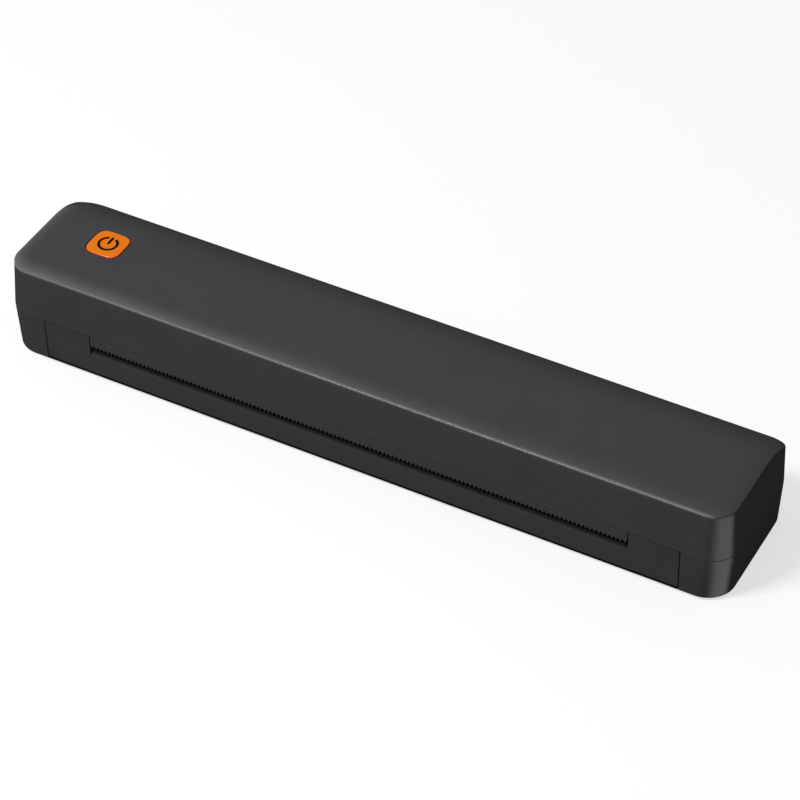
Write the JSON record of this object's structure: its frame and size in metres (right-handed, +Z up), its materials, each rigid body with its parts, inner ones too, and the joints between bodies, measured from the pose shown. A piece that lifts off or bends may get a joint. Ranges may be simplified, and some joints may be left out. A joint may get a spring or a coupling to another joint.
{
  "type": "portable thermal printer",
  "caption": "Portable thermal printer for A4 paper: crowned split case, hinged front cover, serrated tear bar, geared platen, sprung thermal head and power button.",
  "frame": {"origin": "middle of the printer's footprint, in the plane of the rubber feet's undersides", "axes": "+X along the platen towards the gear end, +Y from the paper exit to the back, +Z up"},
  "size_m": [0.292, 0.0568, 0.0416],
  "materials": {
    "case_plastic": "fine matte grain, charcoal",
    "cover_plastic": "fine matte grain, charcoal",
    "button_plastic": "satin, orange",
    "tear_steel": "satin black coat",
    "steel": "zinc-plated sheet",
    "bright_steel": "ground",
    "screw_steel": "blackened",
    "magnet_nickel": "nickel-plated",
    "foot_rubber": "matte",
    "platen_rubber": "ground silicone",
    "acetal_white": "moulded acetal",
    "acetal_black": "moulded acetal",
    "guide_plastic": "moulded",
    "brass": "machined",
    "aluminium": "extruded, sawn ends",
    "head_ceramic": "glazed alumina",
    "board_green": "solder mask",
    "chip_black": "moulded",
    "spring_steel": "rolled strip",
    "motor_steel": "nickel-plated can",
    "socket_steel": "stamped",
    "light_clear": "clear light pipe",
    "cell_wrap": "foil wrap"
  },
  "bodies": {
    "base": {"base_shell": "case_plastic", "battery_cells": "cell_wrap", "board_parts": "chip_black", "board_screws": "screw_steel", "case_screws": "screw_steel", "catch_plates": "steel", "charge_light": "light_clear", "chassis_frame": "steel", "chassis_screws": "screw_steel", "head_pivot_rod": "bright_steel", "head_springs": "spring_steel", "hinge_pins": "bright_steel", "idler_axle": "bright_steel", "main_board": "board_green", "motor_bracket": "steel", "motor_screws": "screw_steel", "paper_guide": "guide_plastic", "paper_sensor": "chip_black", "platen_bushes": "acetal_black", "rubber_feet": "foot_rubber", "spring_bridge": "steel", "stepper_motor": "motor_steel", "tact_switch": "chip_black", "tear_bar": "tear_steel", "tear_bar_screws": "screw_steel", "upper_guide": "steel", "upper_shell": "case_plastic", "usb_socket": "socket_steel"},
    "cover": {"front_cover": "cover_plastic", "cover_magnets": "magnet_nickel"},
    "button": {"power_button": "button_plastic", "switch_plunger": "acetal_black"},
    "platen": {"platen_shaft": "bright_steel", "platen_rubber": "platen_rubber", "platen_gear": "acetal_white"},
    "idler": {"idler_gear": "acetal_white"},
    "rotor": {"motor_pinion": "brass", "motor_shaft": "bright_steel"},
    "head": {"head_heat_sink": "aluminium", "head_ceramic": "head_ceramic", "head_board": "board_green"}
  },
  "joints": [
    {"name": "cover_hinge", "type": "hinge", "parent": "base", "child": "cover", "pos_m": [0, -0.025, 0.005], "axis": [1, 0, 0], "range_deg": [0, 85]},
    {"name": "power_press", "type": "slide", "parent": "base", "child": "button", "axis": [0, 0, -1], "range_m": [0, 0.0005], "stiffness_N_per_m": 1500, "springref_m": -0.0002},
    {"name": "platen_spin", "type": "hinge", "parent": "base", "child": "platen", "pos_m": [0, -0.0145, 0.0086], "axis": [1, 0, 0], "continuous": true},
    {"name": "idler_spin", "type": "hinge", "parent": "base", "child": "idler", "pos_m": [0, -0.00988, 0.01661], "axis": [1, 0, 0], "continuous": true},
    {"name": "motor_spin", "type": "hinge", "parent": "base", "child": "rotor", "pos_m": [0, 0.00284, 0.01931], "axis": [1, 0, 0], "continuous": true},
    {"name": "head_lift", "type": "hinge", "parent": "base", "child": "head", "pos_m": [0, -0.001, 0.02], "axis": [-1, 0, 0], "range_deg": [0, 4], "stiffness_Nm_per_rad": 2, "springref_deg": -5.73, "deforming": ["head_springs"]}
  ],
  "couplings": [
    {"joint": "idler_spin", "follows": "platen_spin", "ratio": -1.1765},
    {"joint": "motor_spin", "follows": "platen_spin", "ratio": 3.1933}
  ]
}
